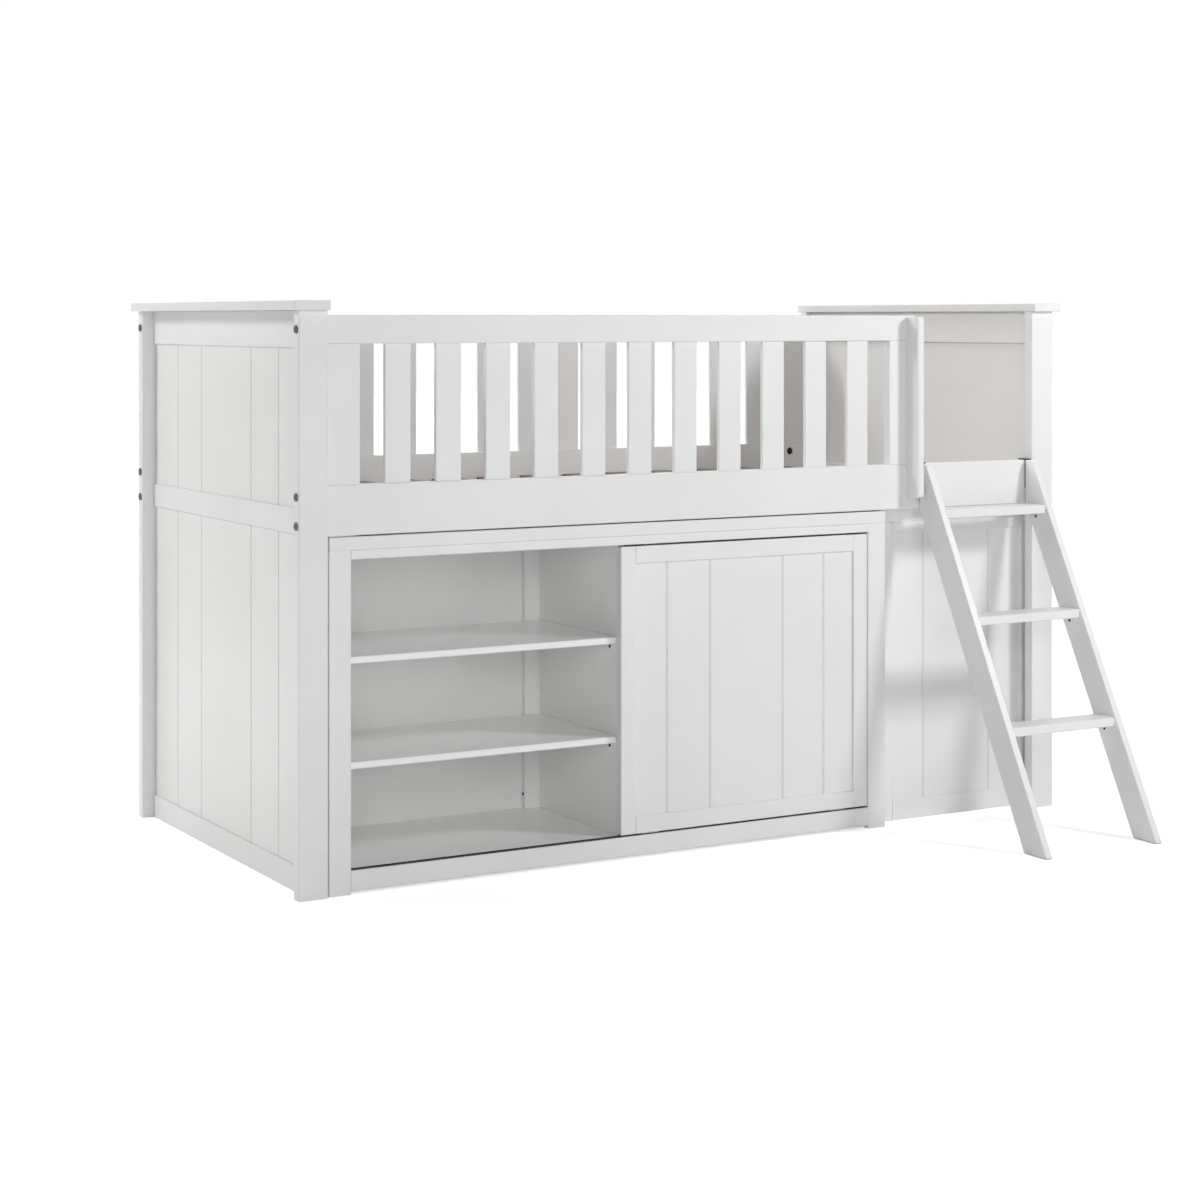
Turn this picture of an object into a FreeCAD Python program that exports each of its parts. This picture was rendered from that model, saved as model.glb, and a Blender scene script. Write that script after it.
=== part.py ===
import FreeCAD, Part
import os
import Sketcher

# A low loft bed of painted wood for a single mattress. A cabinet with a sliding door stands under
# it, a planked panel closes the rest of the front, and a ladder hooks over the front side rail.
# Sizes are in millimetres. +X runs along the bed, the front faces -Y, and the floor is Z = 0.

doc = FreeCAD.newDocument("low_loft_bed")
nodes = []


def fill_sheet(name, cells):
    """One sheet of named cells, in the order given."""
    sheet = doc.addObject("Spreadsheet::Sheet", name)
    for row, (alias, content) in enumerate(cells.items(), start=1):
        sheet.set(f"A{row}", alias)
        sheet.set(f"B{row}", str(content))
        sheet.setAlias(f"B{row}", alias)
    return sheet


# Driving dimensions, by the piece that carries them
sizes = {
    # Posts and caps of the two ends
    "bed_length": 2000,
    "bed_width": 1000,
    "post_width": 65,
    "post_depth": 28,
    "post_height": 1220,
    "cap_thick": 20,
    "cap_end_overhang": 15,
    "cap_side_overhang": 13,
    "cap_inner_overhang": 1,
    "edge_ease": 1.5,
    "cut_overrun": 2,
    # Rails and planked panels between the posts
    "end_rail_thick": 22,
    "end_rail_setback": 27,
    "end_top_rail_height": 79,
    "end_middle_rail_height": 55,
    "end_bottom_rail_height": 55,
    "panel_thick": 10,
    "panel_setback": 5,
    "groove_depth": 6,
    "groove_play": 0.3,
    "vee_width": 5,
    "vee_depth": 2.5,
    "end_inner_vee_share": 0.163,
    "end_outer_vee_share": 0.33,
    # Side rails and the guards above them
    "rail_thick": 22,
    "rail_setback": 3,
    "side_rail_height": 106,
    "side_rail_bottom": 750,
    "guard_rail_height": 60,
    "guard_rail_drop": 10,
    "guard_stile_width": 74,
    "guard_slat_width": 60,
    "guard_slat_thick": 10,
    "guard_slat_setback": 5,
    "tenon_length": 8,
    "front_slat_count": 11,
    "rear_slat_count": 14,
    # Slat base under the mattress
    "ledger_height": 24,
    "ledger_depth": 40,
    "ledger_end_gap": 75,
    "bed_slat_thick": 18,
    "bed_slat_width": 70,
    "bed_slat_count": 14,
    "bed_slat_play": 2,
    # Grab handle at the ladder end of the guard
    "handle_thick": 24,
    "handle_depth": 43,
    "handle_bottom_rise": 27,
    "handle_top_drop": 4,
    "handle_round": 9,
    # Connector bolts through the posts, and their half-moon nuts in the rails
    "bolt_diameter": 8,
    "bolt_bore": 9,
    "bolt_head_diameter": 17,
    "bolt_head_thick": 2.5,
    "bolt_socket_width": 5,
    "bolt_socket_depth": 4,
    "bolt_reach": 53,
    "bolt_tip": 8,
    "side_bolt_spacing": 60,
    "nut_bore_diameter": 20,
    "nut_bore_depth": 18,
    "nut_thick": 14,
    "nut_play": 0.3,
    # Cabinet carcass
    "cabinet_gap": 5,
    "cabinet_width": 1425,
    "cabinet_depth": 390,
    "cabinet_headroom": 3,
    "cabinet_top_thick": 28,
    "cabinet_top_lip": 2,
    "board_thick": 15,
    "back_thick": 5,
    "batten_width": 40,
    "batten_thick": 15,
    "bay_setback": 6,
    # Face frame of the cabinet
    "face_setback": 6,
    "face_thick": 18,
    "face_stile_width": 50,
    "head_rail_height": 20,
    "plinth_height": 43,
    "plinth_gap": 7,
    # Shelves and the angle brackets that carry them
    "shelf_thick": 15,
    "shelf_play": 1,
    "shelf_bracket_inset": 20,
    # Sliding door, its tracks and its glides
    "door_thick": 18,
    "door_recess": 1,
    "door_side_gap": 2,
    "door_top_gap": 4,
    "door_bottom_gap": 4,
    "door_overlap": 8.5,
    "door_member_width": 39,
    "door_inner_vee_share": 0.167,
    "door_outer_vee_share": 0.36,
    "track_width": 12,
    "track_height": 8,
    "track_wall": 1.5,
    "track_proud": 2,
    "glide_length": 40,
    "glide_inset": 60,
    "glide_play": 0.3,
    "guide_reach": 4,
    # Fixed access panel between the cabinet and the right end
    "access_setback": 50,
    "access_thick": 18,
    "access_gap": 0.5,
    "access_left_stile_width": 54,
    "access_right_stile_width": 12,
    "access_top_rail_height": 27,
    "access_bottom_rail_height": 48,
    "access_vee_share": 0.256,
    "cleat_height": 35,
    # Ladder
    "ladder_width": 342,
    "ladder_gap": 12,
    "ladder_post_gap": 2.4,
    "ladder_run": 383,
    "stringer_thick": 19,
    "stringer_foot_depth": 79,
    "stringer_round": 10,
    "tread_thick": 21,
    "tread_depth": 66,
    "tread_setback": 2,
    "first_tread_height": 271,
    "tread_pitch": 240,
    "tread_count": 3,
    "foot_pad_thick": 3,
    "foot_pad_inset": 2,
    "hook_thick": 3,
    "hook_play": 0.5,
    "hook_width": 17,
    "hook_front_leg": 68,
    "hook_rear_leg": 30,
    "bracket_leg": 15,
    "bracket_width": 18,
    "bracket_thick": 2,
}
size = fill_sheet("size", sizes)

# Places worked out from the driving dimensions
places = {
    # Along the bed
    "left": "=-size.bed_length / 2",
    "right": "=size.bed_length / 2",
    "inner_left": "=left + size.post_width",
    "inner_right": "=right - size.post_width",
    "clear_length": "=inner_right - inner_left",
    "left_end_rail": "=left + size.end_rail_setback",
    "right_end_rail": "=right - size.end_rail_setback - size.end_rail_thick",
    # Across the bed: the ladder's foot and the rear caps reach equally far from Y = 0
    "hook_room": "=size.hook_thick + size.hook_play",
    "ladder_reach": "=hook_room + size.ladder_run + size.stringer_foot_depth - size.rail_setback",
    "front": "=(ladder_reach - size.bed_width - size.cap_side_overhang) / 2",
    "rear": "=front + size.bed_width",
    "inner_front": "=front + size.post_depth",
    "inner_rear": "=rear - size.post_depth",
    "clear_width": "=inner_rear - inner_front",
    "rail_front": "=front + size.rail_setback",
    "rail_inside": "=rail_front + size.rail_thick",
    "rear_rail_inside": "=rear - size.rail_setback - size.rail_thick",
    "rail_span": "=rear_rail_inside - rail_inside",
    # Heights of the bed
    "side_rail_top": "=size.side_rail_bottom + size.side_rail_height",
    "guard_bottom": "=size.post_height - size.guard_rail_drop - size.guard_rail_height",
    "middle_rail_top": "=size.side_rail_bottom + size.end_middle_rail_height",
    "top_rail_bottom": "=size.post_height - size.end_top_rail_height",
    "ledger_top": "=size.side_rail_bottom + size.ledger_height",
    # Guards: the rear one runs from post to post, the front one leaves room for the ladder
    "ladder_right": "=inner_right - size.ladder_post_gap",
    "ladder_left": "=ladder_right - size.ladder_width",
    "front_guard_end": "=ladder_left - size.ladder_gap",
    "front_guard_length": "=front_guard_end - inner_left",
    "front_slat_room": "=front_guard_length - 2 * size.guard_stile_width",
    "front_slats_width": "=size.front_slat_count * size.guard_slat_width",
    "front_slat_gap": "=(front_slat_room - front_slats_width) / (size.front_slat_count + 1)",
    "rear_slat_room": "=clear_length - 2 * size.guard_stile_width",
    "rear_slats_width": "=size.rear_slat_count * size.guard_slat_width",
    "rear_slat_gap": "=(rear_slat_room - rear_slats_width) / (size.rear_slat_count + 1)",
    "ledger_length": "=clear_length - 2 * size.ledger_end_gap",
    "bed_slat_pitch": "=(ledger_length - size.bed_slat_width) / (size.bed_slat_count - 1)",
    "handle_bottom": "=size.side_rail_bottom + size.handle_bottom_rise",
    "handle_top": "=size.post_height - size.guard_rail_drop - size.handle_top_drop",
    # Bolts
    "bolt_inset": "=size.rail_setback + size.rail_thick / 2",
    "guard_bolt": "=guard_bottom + size.guard_rail_height / 2",
    "upper_bolt": "=size.side_rail_bottom + (size.side_rail_height + size.side_bolt_spacing) / 2",
    "lower_bolt": "=upper_bolt - size.side_bolt_spacing",
    "bolt_length": "=size.post_width + size.bolt_reach + size.bolt_tip",
    # Cabinet
    "cabinet_left": "=inner_left + size.cabinet_gap",
    "cabinet_right": "=cabinet_left + size.cabinet_width",
    "face_front": "=front + size.face_setback",
    "carcass_front": "=face_front + size.face_thick",
    "carcass_back": "=carcass_front + size.cabinet_depth",
    "back_face": "=carcass_back - size.back_thick",
    "under_top": "=size.side_rail_bottom - size.cabinet_headroom - size.cabinet_top_thick",
    "opening_left": "=cabinet_left + size.face_stile_width",
    "opening_width": "=size.cabinet_width - 2 * size.face_stile_width",
    "opening_bottom": "=size.plinth_gap + size.plinth_height",
    "opening_height": "=under_top - size.head_rail_height - opening_bottom",
    "bay_left": "=cabinet_left + size.board_thick",
    "bay_width": "=(size.cabinet_width - 3 * size.board_thick) / 2",
    "bay_pitch": "=bay_width + size.board_thick",
    "bay_front": "=carcass_front + size.bay_setback",
    "bay_depth": "=back_face - size.batten_thick - bay_front",
    "shelf_gap": "=(opening_height - 2 * size.shelf_thick) / 3",
    "shelf_pitch": "=shelf_gap + size.shelf_thick",
    "first_shelf": "=opening_bottom + shelf_gap",
    # Sliding door, closed over the right bay
    "door_width": "=opening_width / 2 + size.door_overlap",
    "door_middle": "=opening_left + opening_width - size.door_side_gap - door_width / 2",
    "door_front": "=face_front + size.door_recess",
    "door_bottom": "=opening_bottom + size.door_bottom_gap",
    "door_height": "=opening_height - size.door_bottom_gap - size.door_top_gap",
    "door_clear_width": "=door_width - 2 * size.door_member_width",
    "door_clear_height": "=door_height - 2 * size.door_member_width",
    "track_front": "=door_front + (size.door_thick - size.track_width) / 2",
    "lower_track_bottom": "=opening_bottom + size.track_proud - size.track_height",
    "glide_thick": "=size.track_width - 2 * size.track_wall - 2 * size.glide_play",
    "glide_front": "=door_front + (size.door_thick - glide_thick) / 2",
    "glide_bottom": "=lower_track_bottom + size.track_wall + size.glide_play",
    # Access panel
    "access_left": "=cabinet_right + size.access_gap",
    "access_right": "=right_end_rail - size.access_gap",
    "access_front": "=front + size.access_setback",
    "access_height": "=size.side_rail_bottom - size.cleat_height",
    "access_inner_left": "=access_left + size.access_left_stile_width",
    "access_clear_width": "=access_right - size.access_right_stile_width - access_inner_left",
    "access_clear_height": "=access_height - size.access_top_rail_height - size.access_bottom_rail_height",
    # Ladder: plumb against the side rail above, leaning below it
    "ladder_middle": "=ladder_left + size.ladder_width / 2",
    "ladder_clear": "=size.ladder_width - 2 * size.stringer_thick",
    "stringer_back": "=rail_front - hook_room",
    "foot_front": "=stringer_back - size.ladder_run - size.stringer_foot_depth",
    "plumb_bottom": "=size.side_rail_bottom - size.foot_pad_thick",
    "plumb_top": "=side_rail_top - size.foot_pad_thick",
    "lean": "=size.ladder_run / plumb_bottom",
    "hook_gap": "=size.rail_thick + 2 * size.hook_play",
}
place = fill_sheet("place", places)
doc.recompute()


def number(expression):
    """The present value of an expression in sheet cells."""
    return float(size.evalExpression(expression))


def origin_part(body, role):
    """A body's own origin plane or axis."""
    for feature in body.Origin.OriginFeatures:
        if feature.Role == role:
            return feature


def bind(item, stem, values):
    """Binds the x, y and z of a placement to three expressions."""
    for letter, value in zip("xyz", values):
        item.setExpression(f"{stem}.Base.{letter}", value)


def add_feature(body, kind, name):
    """A new feature that becomes the body's result."""
    feature = body.newObject(kind, name)
    body.Tip = feature
    return feature


def add_node(item):
    """Keeps an object as a sub-part of its own."""
    nodes.append(item)
    return item


def outline(body, role, corners):
    """A closed outline of straight edges with every corner bound to sizes, on one origin plane."""
    sketch = body.newObject("Sketcher::SketchObject", "outline")
    sketch.AttachmentSupport = [(origin_part(body, role), "")]
    sketch.MapMode = "FlatFace"
    points = [FreeCAD.Vector(number(across), number(up), 0) for across, up in corners]
    for index, point in enumerate(points):
        following = (index + 1) % len(points)
        sketch.addGeometry(Part.LineSegment(point, points[following]))
    for index, (across, up) in enumerate(corners):
        following = (index + 1) % len(points)
        sketch.addConstraint(Sketcher.Constraint("Coincident", index, 2, following, 1))
        start = points[index]
        for kind, axis, value, now in (("DistanceX", -2, across, start.x), ("DistanceY", -1, up, start.y)):
            if value == "0":
                sketch.addConstraint(Sketcher.Constraint("PointOnObject", index, 1, axis))
                continue
            row = sketch.addConstraint(Sketcher.Constraint(kind, -1, 1, index, 1, now))
            sketch.setExpression(f"Constraints[{row}]", value)
    return sketch


def pad_outline(body, role, corners, height, both_ways=False):
    """A prism on an outline."""
    sketch = outline(body, role, corners)
    pad = add_feature(body, "PartDesign::Pad", "prism")
    pad.Profile = sketch
    pad.Midplane = both_ways
    pad.setExpression("Length", height)
    return pad


def ease_edges(body, feature, edges=()):
    """Takes the sharpness off some edges of a feature, or off all of them."""
    chamfer = add_feature(body, "PartDesign::Chamfer", "eased_edges")
    chamfer.Base = (feature, list(edges) or [""])
    chamfer.UseAllEdges = not edges
    chamfer.setExpression("Size", "size.edge_ease")


def edges_where(feature, test):
    """Names of a feature's edges that pass a test."""
    doc.recompute()
    return [f"Edge{index}" for index, edge in enumerate(feature.Shape.Edges, start=1) if test(edge)]


def board(name, lengths, corner, eased="XYZ"):
    """A straight board from one corner, along X, Y and Z, with the edges along one or all of these eased."""
    along, across, height = lengths
    body = doc.addObject("PartDesign::Body", name)
    corners = [("0", "0"), (along, "0"), (along, across), ("0", across)]
    prism = pad_outline(body, "XY_Plane", corners, height)
    if eased == "XYZ":
        ease_edges(body, prism)
    elif eased:
        ease = number("size.edge_ease")
        ease_edges(body, prism, edges_where(prism, lambda edge: getattr(edge.BoundBox, f"{eased}Length") > ease))
    bind(body, "Placement", corner)
    return add_node(body)


def cut_slot(body, corner, lengths):
    """A rectangular slot, groove or rebate, from one corner in the body's own frame."""
    slot = add_feature(body, "PartDesign::SubtractiveBox", "slot")
    slot.AttachmentSupport = [(origin_part(body, "XY_Plane"), "")]
    slot.MapMode = "FlatFace"
    slot.Refine = False
    bind(slot, "AttachmentOffset", corner)
    for side, value in zip(("Length", "Width", "Height"), lengths):
        slot.setExpression(side, value)


TURNS = {
    "x": FreeCAD.Rotation(FreeCAD.Vector(0, 1, 0), 90),
    "y": FreeCAD.Rotation(FreeCAD.Vector(1, 0, 0), -90),
}


def cut_bore(body, axis, start, diameter, depth):
    """A round bore along +X or +Y, from a point in the body's own frame."""
    bore = add_feature(body, "PartDesign::SubtractiveCylinder", "bore")
    bore.AttachmentSupport = [(origin_part(body, "XY_Plane"), "")]
    bore.MapMode = "FlatFace"
    bore.Refine = False
    bore.AttachmentOffset = FreeCAD.Placement(FreeCAD.Vector(), TURNS[axis])
    bind(bore, "AttachmentOffset", start)
    bore.setExpression("Radius", f"({diameter}) / 2")
    bore.setExpression("Height", depth)


def repeat(body, role, count, span, second_role="", second_span=""):
    """Repeats the whole body along an origin axis, and as a pair along a second one."""
    doc.recompute()
    row = add_feature(body, "PartDesign::LinearPattern", "row")
    row.TransformMode = "Whole shape"
    row.Direction = (origin_part(body, role), [""])
    row.setExpression("Length", span)
    row.setExpression("Occurrences", count)
    if second_role:
        row.Direction2 = (origin_part(body, second_role), [""])
        row.setExpression("Length2", second_span)
        row.Occurrences2 = 2


def mirror_body(body, role):
    """Adds the body's mirror image across one of its origin planes."""
    doc.recompute()
    mirror = add_feature(body, "PartDesign::Mirrored", "pair")
    mirror.TransformMode = "Whole shape"
    mirror.MirrorPlane = (origin_part(body, role), [""])


def gather(name, members):
    """One sub-part of several separate solids."""
    for member in members:
        if member in nodes:
            nodes.remove(member)
    group = doc.addObject("Part::Compound", name)
    group.Links = members
    return add_node(group)


def plank_panel(name, width, height, corner, shares, turn=0):
    """A panel board that stands on its lower edge, with pairs of V grooves in its front face.

    The shares place each pair of grooves either side of the middle, as parts of the width in sight.
    """
    whole_width = f"({width} + 2 * size.groove_depth - 2 * size.groove_play)"
    whole_height = f"{height} + 2 * size.groove_depth - size.groove_play"
    half = f"{whole_width} / 2"
    body = doc.addObject("PartDesign::Body", name)
    corners = [(f"-{half}", "0"), (half, "0"), (half, "size.panel_thick"), (f"-{half}", "size.panel_thick")]
    pad_outline(body, "XY_Plane", corners, whole_height)
    vees = []
    for share in shares:
        middle = f"{share} * {width}"
        half_vee = "size.vee_width / 2"
        corners = [(f"{middle} - {half_vee}", "0"), (f"{middle} + {half_vee}", "0"), (middle, "size.vee_depth")]
        sketch = outline(body, "XY_Plane", corners)
        vee = add_feature(body, "PartDesign::Pocket", "vee")
        vee.Profile = sketch
        vee.Type = "ThroughAll"
        vee.Midplane = True
        vees.append(vee)
    mirror = add_feature(body, "PartDesign::Mirrored", "vee_pairs")
    mirror.Originals = vees
    mirror.MirrorPlane = (origin_part(body, "YZ_Plane"), [""])
    body.Placement = FreeCAD.Placement(FreeCAD.Vector(), FreeCAD.Rotation(FreeCAD.Vector(0, 0, 1), turn))
    bind(body, "Placement", corner)
    return add_node(body)


GROOVE_WIDTH = "size.panel_thick + 2 * size.groove_play"
OVER = "size.cut_overrun"


# Four posts, each with a groove for the end panels and bores for its bolts
def post(name, x, y, groove_x, groove_y, bolt_y, bolt_heights):
    body = board(name, ("size.post_width", "size.post_depth", "size.post_height"), (x, y, "0"), "Z")
    groove_lengths = (GROOVE_WIDTH, f"size.groove_depth + {OVER}", f"size.post_height + 2 * {OVER}")
    cut_slot(body, (groove_x, groove_y, f"-{OVER}"), groove_lengths)
    for height in bolt_heights:
        cut_bore(body, "x", (f"-{OVER}", bolt_y, height), "size.bolt_bore", f"size.post_width + 2 * {OVER}")


left_groove = "size.end_rail_setback + size.panel_setback - size.groove_play"
right_groove = f"size.post_width - ({left_groove}) - ({GROOVE_WIDTH})"
front_groove = "size.post_depth - size.groove_depth"
rear_bolt = "size.post_depth - place.bolt_inset"
rear_post = "place.rear - size.post_depth"
side_heights = ["place.upper_bolt", "place.lower_bolt"]
heights = ["place.guard_bolt", *side_heights]
post("front_left_post", "place.left", "place.front", left_groove, front_groove, "place.bolt_inset", heights)
post("front_right_post", "place.inner_right", "place.front", right_groove, front_groove, "place.bolt_inset",
     side_heights)
post("rear_left_post", "place.left", rear_post, left_groove, f"-{OVER}", rear_bolt, heights)
post("rear_right_post", "place.inner_right", rear_post, right_groove, f"-{OVER}", rear_bolt, heights)

# A cap along the top of each end, and the rails between the posts, grooved for the panels
cap_lengths = (
    "size.post_width + size.cap_end_overhang + size.cap_inner_overhang",
    "size.bed_width + 2 * size.cap_side_overhang",
    "size.cap_thick",
)
cap_y = "place.front - size.cap_side_overhang"
board("left_end_cap", cap_lengths, ("place.left - size.cap_end_overhang", cap_y, "size.post_height"))
board("right_end_cap", cap_lengths, ("place.inner_right - size.cap_inner_overhang", cap_y, "size.post_height"))


def end_rail(name, height, corner, groove_x, groove_heights):
    body = board(name, ("size.end_rail_thick", "place.clear_width", height), corner, "Y")
    for groove_z in groove_heights:
        lengths = (GROOVE_WIDTH, f"place.clear_width + 2 * {OVER}", f"size.groove_depth + {OVER}")
        cut_slot(body, (groove_x, f"-{OVER}", groove_z), lengths)


outer_groove = "size.panel_setback - size.groove_play"
inner_groove = f"size.end_rail_thick - ({outer_groove}) - ({GROOVE_WIDTH})"
under_groove = f"-{OVER}"
for side, rail_x, groove_x in (("left", "place.left_end_rail", outer_groove),
                               ("right", "place.right_end_rail", inner_groove)):
    end_rail(f"{side}_end_top_rail", "size.end_top_rail_height",
             (rail_x, "place.inner_front", "place.top_rail_bottom"), groove_x, [under_groove])
    end_rail(f"{side}_end_middle_rail", "size.end_middle_rail_height",
             (rail_x, "place.inner_front", "size.side_rail_bottom"), groove_x,
             [under_groove, "size.end_middle_rail_height - size.groove_depth"])
    end_rail(f"{side}_end_bottom_rail", "size.end_bottom_rail_height",
             (rail_x, "place.inner_front", "0"), groove_x,
             ["size.end_bottom_rail_height - size.groove_depth"])

# The planked panels of the ends: their grooved faces look outwards
end_shares = ("size.end_inner_vee_share", "size.end_outer_vee_share")
middle_y = "(place.inner_front + place.inner_rear) / 2"
panel_inset = "size.end_rail_setback + size.panel_setback"
for side, panel_x, turn in (("left", f"place.left + {panel_inset}", -90),
                            ("right", f"place.right - ({panel_inset})", 90)):
    plank_panel(f"{side}_end_upper_panel", "place.clear_width",
                "(place.top_rail_bottom - place.middle_rail_top)",
                (panel_x, middle_y, "place.middle_rail_top - size.groove_depth"), end_shares, turn)
    plank_panel(f"{side}_end_lower_panel", "place.clear_width",
                "(size.side_rail_bottom - size.end_bottom_rail_height)",
                (panel_x, middle_y, "size.end_bottom_rail_height - size.groove_depth"), end_shares, turn)


# Long rails of the front and rear, bored for the bolts and for the nuts inside their ends
def bored_rail(name, length, height, corner, nut_start, bolt_heights, right_end):
    body = board(name, (length, "size.rail_thick", height), corner, "X")
    bolt_depth = f"size.bolt_reach + {OVER}"
    for bolt_z in bolt_heights:
        ends = [(f"-{OVER}", "size.bolt_reach")]
        if right_end:
            ends.append((f"{length} - size.bolt_reach", f"{length} - size.bolt_reach"))
        for bolt_x, nut_x in ends:
            cut_bore(body, "x", (bolt_x, "size.rail_thick / 2", bolt_z), "size.bolt_bore", bolt_depth)
            cut_bore(body, "y", (nut_x, nut_start, bolt_z), "size.nut_bore_diameter",
                     f"size.nut_bore_depth + {OVER}")
    return body


front_nut = "size.rail_thick - size.nut_bore_depth"
rear_nut = f"-{OVER}"
side_bolts = ["place.upper_bolt - size.side_rail_bottom", "place.lower_bolt - size.side_rail_bottom"]
guard_bolts = ["size.guard_rail_height / 2"]
front_rails = (
    bored_rail("front_side_rail", "place.clear_length", "size.side_rail_height",
               ("place.inner_left", "place.rail_front", "size.side_rail_bottom"), front_nut, side_bolts, True),
    bored_rail("front_guard_rail", "place.front_guard_length", "size.guard_rail_height",
               ("place.inner_left", "place.rail_front", "place.guard_bottom"), front_nut, guard_bolts, False),
)
rear_rails = (
    bored_rail("rear_side_rail", "place.clear_length", "size.side_rail_height",
               ("place.inner_left", "place.rear_rail_inside", "size.side_rail_bottom"), rear_nut, side_bolts,
               True),
    bored_rail("rear_guard_rail", "place.clear_length", "size.guard_rail_height",
               ("place.inner_left", "place.rear_rail_inside", "place.guard_bottom"), rear_nut, guard_bolts, True),
)


# Stiles and slats of the two guards, standing between the rails, the slats let into mortises
def cut_mortises(rail, slat_x, slat_y, bottom, slat_span, slat_count):
    cut_slot(rail, (f"{slat_x} - size.groove_play", f"{slat_y} - size.groove_play", bottom),
             ("size.guard_slat_width + 2 * size.groove_play", "size.guard_slat_thick + 2 * size.groove_play",
              f"size.tenon_length + {OVER}"))
    mortise = rail.Tip
    row = add_feature(rail, "PartDesign::LinearPattern", "mortises")
    row.Originals = [mortise]
    row.Refine = False
    row.Direction = (origin_part(rail, "X_Axis"), [""])
    row.setExpression("Length", slat_span)
    row.setExpression("Occurrences", slat_count)


def guard_infill(side, rails, rail_y, slat_y, guard_length):
    height = "place.guard_bottom - place.side_rail_top"
    slat_count = f"size.{side}_slat_count"
    slat_x = f"size.guard_stile_width + place.{side}_slat_gap"
    slat_span = f"(place.{side}_slat_gap + size.guard_slat_width) * ({slat_count} - 1)"
    stiles = board(f"{side}_guard_stiles", ("size.guard_stile_width", "size.rail_thick", height),
                   ("place.inner_left", rail_y, "place.side_rail_top"), "Z")
    repeat(stiles, "X_Axis", "2", f"{guard_length} - size.guard_stile_width")
    slats = board(f"{side}_guard_slats",
                  ("size.guard_slat_width", "size.guard_slat_thick", f"{height} + 2 * size.tenon_length"),
                  (f"place.inner_left + {slat_x}", f"{rail_y} + {slat_y}",
                   "place.side_rail_top - size.tenon_length"), "Z")
    repeat(slats, "X_Axis", slat_count, slat_span)
    for rail, bottom in zip(rails, ("size.side_rail_height - size.tenon_length", f"size.groove_play - {OVER}")):
        cut_mortises(rail, slat_x, slat_y, bottom, slat_span, slat_count)


guard_infill("front", front_rails, "place.rail_front", "size.guard_slat_setback", "place.front_guard_length")
guard_infill("rear", rear_rails, "place.rear_rail_inside",
             "size.rail_thick - size.guard_slat_setback - size.guard_slat_thick", "place.clear_length")

# Slat base: a ledger along each side rail, clear of the nuts, and loose slats across them
ledger_x = "place.inner_left + size.ledger_end_gap"
ledgers = board("slat_ledgers", ("place.ledger_length", "size.ledger_depth", "size.ledger_height"),
                (ledger_x, "place.rail_inside", "size.side_rail_bottom"), "X")
repeat(ledgers, "Y_Axis", "2", "place.rail_span - size.ledger_depth")
bed_slats = board("bed_slats",
                  ("size.bed_slat_width", "place.rail_span - 2 * size.bed_slat_play", "size.bed_slat_thick"),
                  (ledger_x, "place.rail_inside + size.bed_slat_play", "place.ledger_top"), "")
repeat(bed_slats, "X_Axis", "size.bed_slat_count", "place.bed_slat_pitch * (size.bed_slat_count - 1)")

# Grab handle: an upright board on the face of the guard's last stile, its front rounded for the hand
handle = board("grab_handle",
               ("size.handle_thick", "size.handle_depth", "place.handle_top - place.handle_bottom"),
               ("place.front_guard_end - size.handle_thick", "place.rail_front - size.handle_depth",
                "place.handle_bottom"), "")
handle_prism = handle.Tip
handle_back = number("size.handle_depth")
face_edges = edges_where(handle_prism, lambda edge: edge.BoundBox.YMax < handle_back / 2)
rounding = add_feature(handle, "PartDesign::Fillet", "rounding")
rounding.Base = (handle_prism, face_edges)
rounding.setExpression("Radius", "size.handle_round")


# Connector bolts with flat heads on the posts' outer faces, and half-moon nuts in the rails.
# The thread is left out: the shank and the nut's hole are eight-sided, which keeps their faces few.
shank_flat = "size.bolt_diameter / 2"
shank_corner = f"{shank_flat} * tan(22.5 deg)"
SHANK = [(shank_flat, shank_corner), (shank_corner, shank_flat), (f"-{shank_corner}", shank_flat),
         (f"-{shank_flat}", shank_corner), (f"-{shank_flat}", f"-{shank_corner}"),
         (f"-{shank_corner}", f"-{shank_flat}"), (shank_corner, f"-{shank_flat}"),
         (shank_flat, f"-{shank_corner}")]


def bolt(name, corner, turn):
    body = doc.addObject("PartDesign::Body", name)
    head = add_feature(body, "PartDesign::AdditiveCylinder", "head")
    head.AttachmentSupport = [(origin_part(body, "YZ_Plane"), "")]
    head.MapMode = "FlatFace"
    head.setExpression("Radius", "size.bolt_head_diameter / 2")
    head.setExpression("Height", "size.bolt_head_thick")
    pad_outline(body, "YZ_Plane", SHANK, "size.bolt_head_thick + place.bolt_length")
    flat = "size.bolt_socket_width / 2"
    corner_reach = "size.bolt_socket_width / sqrt(3)"
    hexagon = outline(body, "YZ_Plane",
                      [(flat, f"{corner_reach} / 2"), ("0", corner_reach), (f"-{flat}", f"{corner_reach} / 2"),
                       (f"-{flat}", f"-{corner_reach} / 2"), ("0", f"-{corner_reach}"),
                       (flat, f"-{corner_reach} / 2")])
    socket = add_feature(body, "PartDesign::Pocket", "hexagon_socket")
    socket.Profile = hexagon
    socket.Reversed = True
    socket.setExpression("Length", "size.bolt_socket_depth")
    body.Placement = FreeCAD.Placement(FreeCAD.Vector(), FreeCAD.Rotation(FreeCAD.Vector(0, 0, 1), turn))
    bind(body, "Placement", corner)
    return body


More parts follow.
